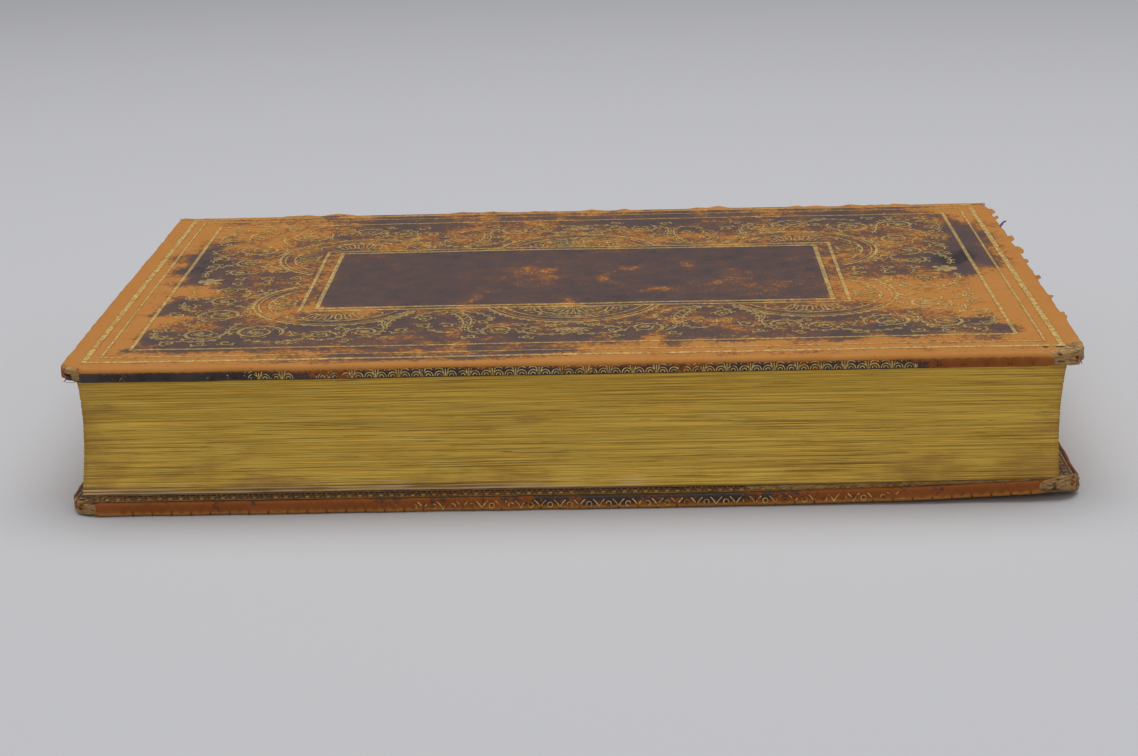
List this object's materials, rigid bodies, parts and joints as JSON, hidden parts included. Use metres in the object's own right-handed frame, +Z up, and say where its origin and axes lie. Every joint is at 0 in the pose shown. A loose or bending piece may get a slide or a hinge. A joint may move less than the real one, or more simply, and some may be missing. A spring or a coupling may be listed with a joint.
{
  "type": "leather-bound book",
  "caption": "Closed antique book in gilt-tooled leather over boards, with gilt hollow fore-edge, rounded spine, raised bands and two hinged covers.",
  "frame": {"origin": "under the middle of the book, on the surface that its rear cover lies on", "axes": "+X along the book's height from tail to head, +Y from the fore-edge to the spine, +Z up from the rear cover to the front cover"},
  "size_m": [0.23, 0.1698, 0.035],
  "materials": {
    "leather": "worn tan and dark brown calf with gilt tooling",
    "millboard": "frayed grey-brown board where corners are worn",
    "gilt_leaves": "dull gilt edges with dark streaks between the leaves",
    "endpaper": "marbled paper",
    "silk": "striped silk bead",
    "cord": "hemp cord",
    "lining_paper": "plain lining paper"
  },
  "bodies": {
    "leaves_and_spine": {"text_block": "gilt_leaves", "front_free_endpaper": "endpaper", "rear_free_endpaper": "endpaper", "head_endband": "silk", "tail_endband": "silk", "spine_leather": "leather", "sewing_cord_1": "cord", "sewing_cord_2": "cord", "sewing_cord_3": "cord", "sewing_cord_4": "cord", "sewing_cord_5": "cord", "spine_lining_1": "lining_paper", "spine_lining_2": "lining_paper", "spine_lining_3": "lining_paper", "spine_lining_4": "lining_paper", "spine_lining_5": "lining_paper", "spine_lining_6": "lining_paper"},
    "front_cover": {"front_board": "millboard", "front_cover_leather": "leather", "front_pastedown": "endpaper"},
    "rear_cover": {"rear_board": "millboard", "rear_cover_leather": "leather", "rear_pastedown": "endpaper"}
  },
  "joints": [
    {"name": "front_cover_hinge", "type": "hinge", "parent": "leaves_and_spine", "child": "front_cover", "pos_m": [0, 0.0731, 0.0347], "axis": [-1, 0, 0], "range_deg": [0, 180]},
    {"name": "rear_cover_hinge", "type": "hinge", "parent": "leaves_and_spine", "child": "rear_cover", "pos_m": [0, 0.0731, 0.0003], "axis": [1, 0, 0], "range_deg": [0, 180]}
  ]
}
